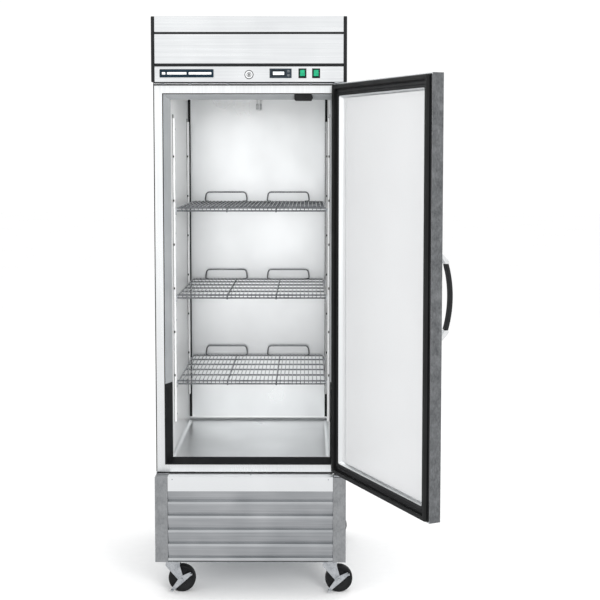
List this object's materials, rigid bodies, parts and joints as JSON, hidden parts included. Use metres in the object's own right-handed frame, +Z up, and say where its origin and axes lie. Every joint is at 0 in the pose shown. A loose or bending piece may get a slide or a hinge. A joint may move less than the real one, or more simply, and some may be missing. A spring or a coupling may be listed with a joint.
{
  "type": "reach-in refrigerator",
  "caption": "Upright reach-in refrigerator: one solid hinged door, wire shelves, control header, louvred machine base and swivel casters.",
  "frame": {"origin": "on the floor, at the middle of the whole footprint with the door standing open at 115 degrees", "axes": "+Z up, -Y out of the front of the cabinet, +X to the viewer's right, the door's hinge side"},
  "size_m": [1.0012, 1.4019, 2.08],
  "materials": {
    "stainless_brushed": "brushed",
    "stainless_polished": "polished",
    "galvanised": "spangled zinc",
    "black_plastic": "moulded",
    "grey_pvc": "extruded",
    "gasket_black": "soft matt",
    "foam": "rigid foam",
    "chrome_wire": "plated wire",
    "zinc_plate": "zinc plated",
    "white_plastic": "moulded",
    "green_plastic": "translucent moulded",
    "black_enamel": "gloss enamel",
    "copper_tube": "bare copper",
    "aluminium_fin": "mill finish",
    "wheel_rubber": "matt"
  },
  "bodies": {
    "cabinet": {"outer_shell": "stainless_brushed", "rear_panel": "galvanised", "insulation": "foam", "inner_liner": "stainless_polished", "breaker_frame": "grey_pvc", "door_switch": "black_plastic", "temperature_probe": "white_plastic", "pilaster_front_left": "white_plastic", "pilaster_front_right": "white_plastic", "pilaster_rear_left": "white_plastic", "pilaster_rear_right": "white_plastic", "hinge_top": "zinc_plate", "hinge_bottom": "zinc_plate", "header_panel": "stainless_brushed", "header_trim": "black_plastic", "control_panel": "stainless_brushed", "header_end_left": "black_plastic", "header_end_right": "black_plastic", "name_plate": "black_plastic", "lock_housing": "stainless_polished", "controller_body": "black_plastic", "rocker_frame_left": "black_plastic", "rocker_frame_right": "black_plastic", "base_frame": "galvanised", "base_column_left": "stainless_brushed", "base_column_right": "stainless_brushed", "louvre_grille": "stainless_brushed", "compressor": "black_enamel", "condenser_coil": "copper_tube", "condenser_fan_motor": "galvanised", "evaporator_coil": "aluminium_fin", "evaporator_fan_motor": "galvanised"},
    "door": {"door_pan": "stainless_brushed", "door_foam": "foam", "door_liner": "stainless_polished", "door_gasket": "gasket_black", "handle_bracket_lower": "stainless_polished", "handle_bracket_upper": "stainless_polished", "handle_grip": "black_plastic"},
    "lock_plug": {"lock_plug": "stainless_polished"},
    "lock_bolt": {"lock_bolt": "zinc_plate"},
    "rocker_left": {"rocker_left": "green_plastic"},
    "rocker_right": {"rocker_right": "green_plastic"},
    "controller_button_up": {"controller_button_up": "grey_pvc"},
    "controller_button_down": {"controller_button_down": "grey_pvc"},
    "shelf_upper": {"shelf_upper": "chrome_wire"},
    "shelf_middle": {"shelf_middle": "chrome_wire"},
    "shelf_lower": {"shelf_lower": "chrome_wire"},
    "condenser_fan": {"condenser_fan_blade": "black_enamel"},
    "evaporator_fan": {"evaporator_fan_blade": "black_enamel"},
    "caster_front_left": {"caster_fork_front_left": "zinc_plate"},
    "wheel_front_left": {"caster_wheel_front_left": "wheel_rubber"},
    "brake_front_left": {"caster_brake_front_left": "zinc_plate"},
    "caster_front_right": {"caster_fork_front_right": "zinc_plate"},
    "wheel_front_right": {"caster_wheel_front_right": "wheel_rubber"},
    "brake_front_right": {"caster_brake_front_right": "zinc_plate"},
    "caster_rear_left": {"caster_fork_rear_left": "zinc_plate"},
    "wheel_rear_left": {"caster_wheel_rear_left": "wheel_rubber"},
    "caster_rear_right": {"caster_fork_rear_right": "zinc_plate"},
    "wheel_rear_right": {"caster_wheel_rear_right": "wheel_rubber"}
  },
  "joints": [
    {"name": "door_hinge", "type": "hinge", "parent": "cabinet", "child": "door", "pos_m": [0.1705, -0.091, 1.151], "axis": [0, 0, 1], "range_deg": [-115, 5]},
    {"name": "lock_turn", "type": "hinge", "parent": "cabinet", "child": "lock_plug", "pos_m": [-0.1545, -0.107, 1.877], "axis": [0, 1, 0], "range_deg": [0, 90]},
    {"name": "lock_bolt_slide", "type": "slide", "parent": "cabinet", "child": "lock_bolt", "axis": [0, 0, -1], "range_m": [0, 0.014]},
    {"name": "rocker_left_tilt", "type": "hinge", "parent": "cabinet", "child": "rocker_left", "pos_m": [0.0325, -0.1, 1.8815], "axis": [1, 0, 0], "range_deg": [0, 16]},
    {"name": "rocker_right_tilt", "type": "hinge", "parent": "cabinet", "child": "rocker_right", "pos_m": [0.0803, -0.1, 1.8815], "axis": [1, 0, 0], "range_deg": [0, 16]},
    {"name": "button_up_press", "type": "slide", "parent": "cabinet", "child": "controller_button_up", "axis": [0, 1, 0], "range_m": [0, 0.001], "stiffness_N_per_m": 500},
    {"name": "button_down_press", "type": "slide", "parent": "cabinet", "child": "controller_button_down", "axis": [0, 1, 0], "range_m": [0, 0.001], "stiffness_N_per_m": 500},
    {"name": "shelf_upper_lift", "type": "slide", "parent": "cabinet", "child": "shelf_upper", "axis": [0, 0, 1], "range_m": [0, 0.04]},
    {"name": "shelf_middle_lift", "type": "slide", "parent": "cabinet", "child": "shelf_middle", "axis": [0, 0, 1], "range_m": [0, 0.04]},
    {"name": "shelf_lower_lift", "type": "slide", "parent": "cabinet", "child": "shelf_lower", "axis": [0, 0, 1], "range_m": [0, 0.04]},
    {"name": "condenser_fan_spin", "type": "hinge", "parent": "cabinet", "child": "condenser_fan", "pos_m": [-0.2345, 0.093, 0.272], "axis": [0, 1, 0], "continuous": true},
    {"name": "evaporator_fan_spin", "type": "hinge", "parent": "cabinet", "child": "evaporator_fan", "pos_m": [-0.0045, 0.223, 1.847], "axis": [0, 0, 1], "continuous": true},
    {"name": "swivel_front_left", "type": "hinge", "parent": "cabinet", "child": "caster_front_left", "pos_m": [-0.4415, -0.027, 0.115], "axis": [0, 0, 1], "continuous": true},
    {"name": "wheel_front_left_spin", "type": "hinge", "parent": "caster_front_left", "child": "wheel_front_left", "pos_m": [-0.4085, -0.027, 0.05], "axis": [0, 1, 0], "continuous": true},
    {"name": "brake_front_left_lever", "type": "hinge", "parent": "caster_front_left", "child": "brake_front_left", "pos_m": [-0.4085, -0.047, 0.05], "axis": [0, 1, 0], "range_deg": [0, 14]},
    {"name": "swivel_front_right", "type": "hinge", "parent": "cabinet", "child": "caster_front_right", "pos_m": [0.1325, -0.027, 0.115], "axis": [0, 0, 1], "continuous": true},
    {"name": "wheel_front_right_spin", "type": "hinge", "parent": "caster_front_right", "child": "wheel_front_right", "pos_m": [0.1655, -0.027, 0.05], "axis": [0, 1, 0], "continuous": true},
    {"name": "brake_front_right_lever", "type": "hinge", "parent": "caster_front_right", "child": "brake_front_right", "pos_m": [0.1655, -0.047, 0.05], "axis": [0, 1, 0], "range_deg": [0, 14]},
    {"name": "swivel_rear_left", "type": "hinge", "parent": "cabinet", "child": "caster_rear_left", "pos_m": [-0.4415, 0.621, 0.115], "axis": [0, 0, 1], "continuous": true},
    {"name": "wheel_rear_left_spin", "type": "hinge", "parent": "caster_rear_left", "child": "wheel_rear_left", "pos_m": [-0.4085, 0.621, 0.05], "axis": [0, 1, 0], "continuous": true},
    {"name": "swivel_rear_right", "type": "hinge", "parent": "cabinet", "child": "caster_rear_right", "pos_m": [0.1325, 0.621, 0.115], "axis": [0, 0, 1], "continuous": true},
    {"name": "wheel_rear_right_spin", "type": "hinge", "parent": "caster_rear_right", "child": "wheel_rear_right", "pos_m": [0.1655, 0.621, 0.05], "axis": [0, 1, 0], "continuous": true}
  ],
  "couplings": [
    {"joint": "lock_bolt_slide", "follows": "lock_turn", "m_per_rad": 0.0089127}
  ]
}
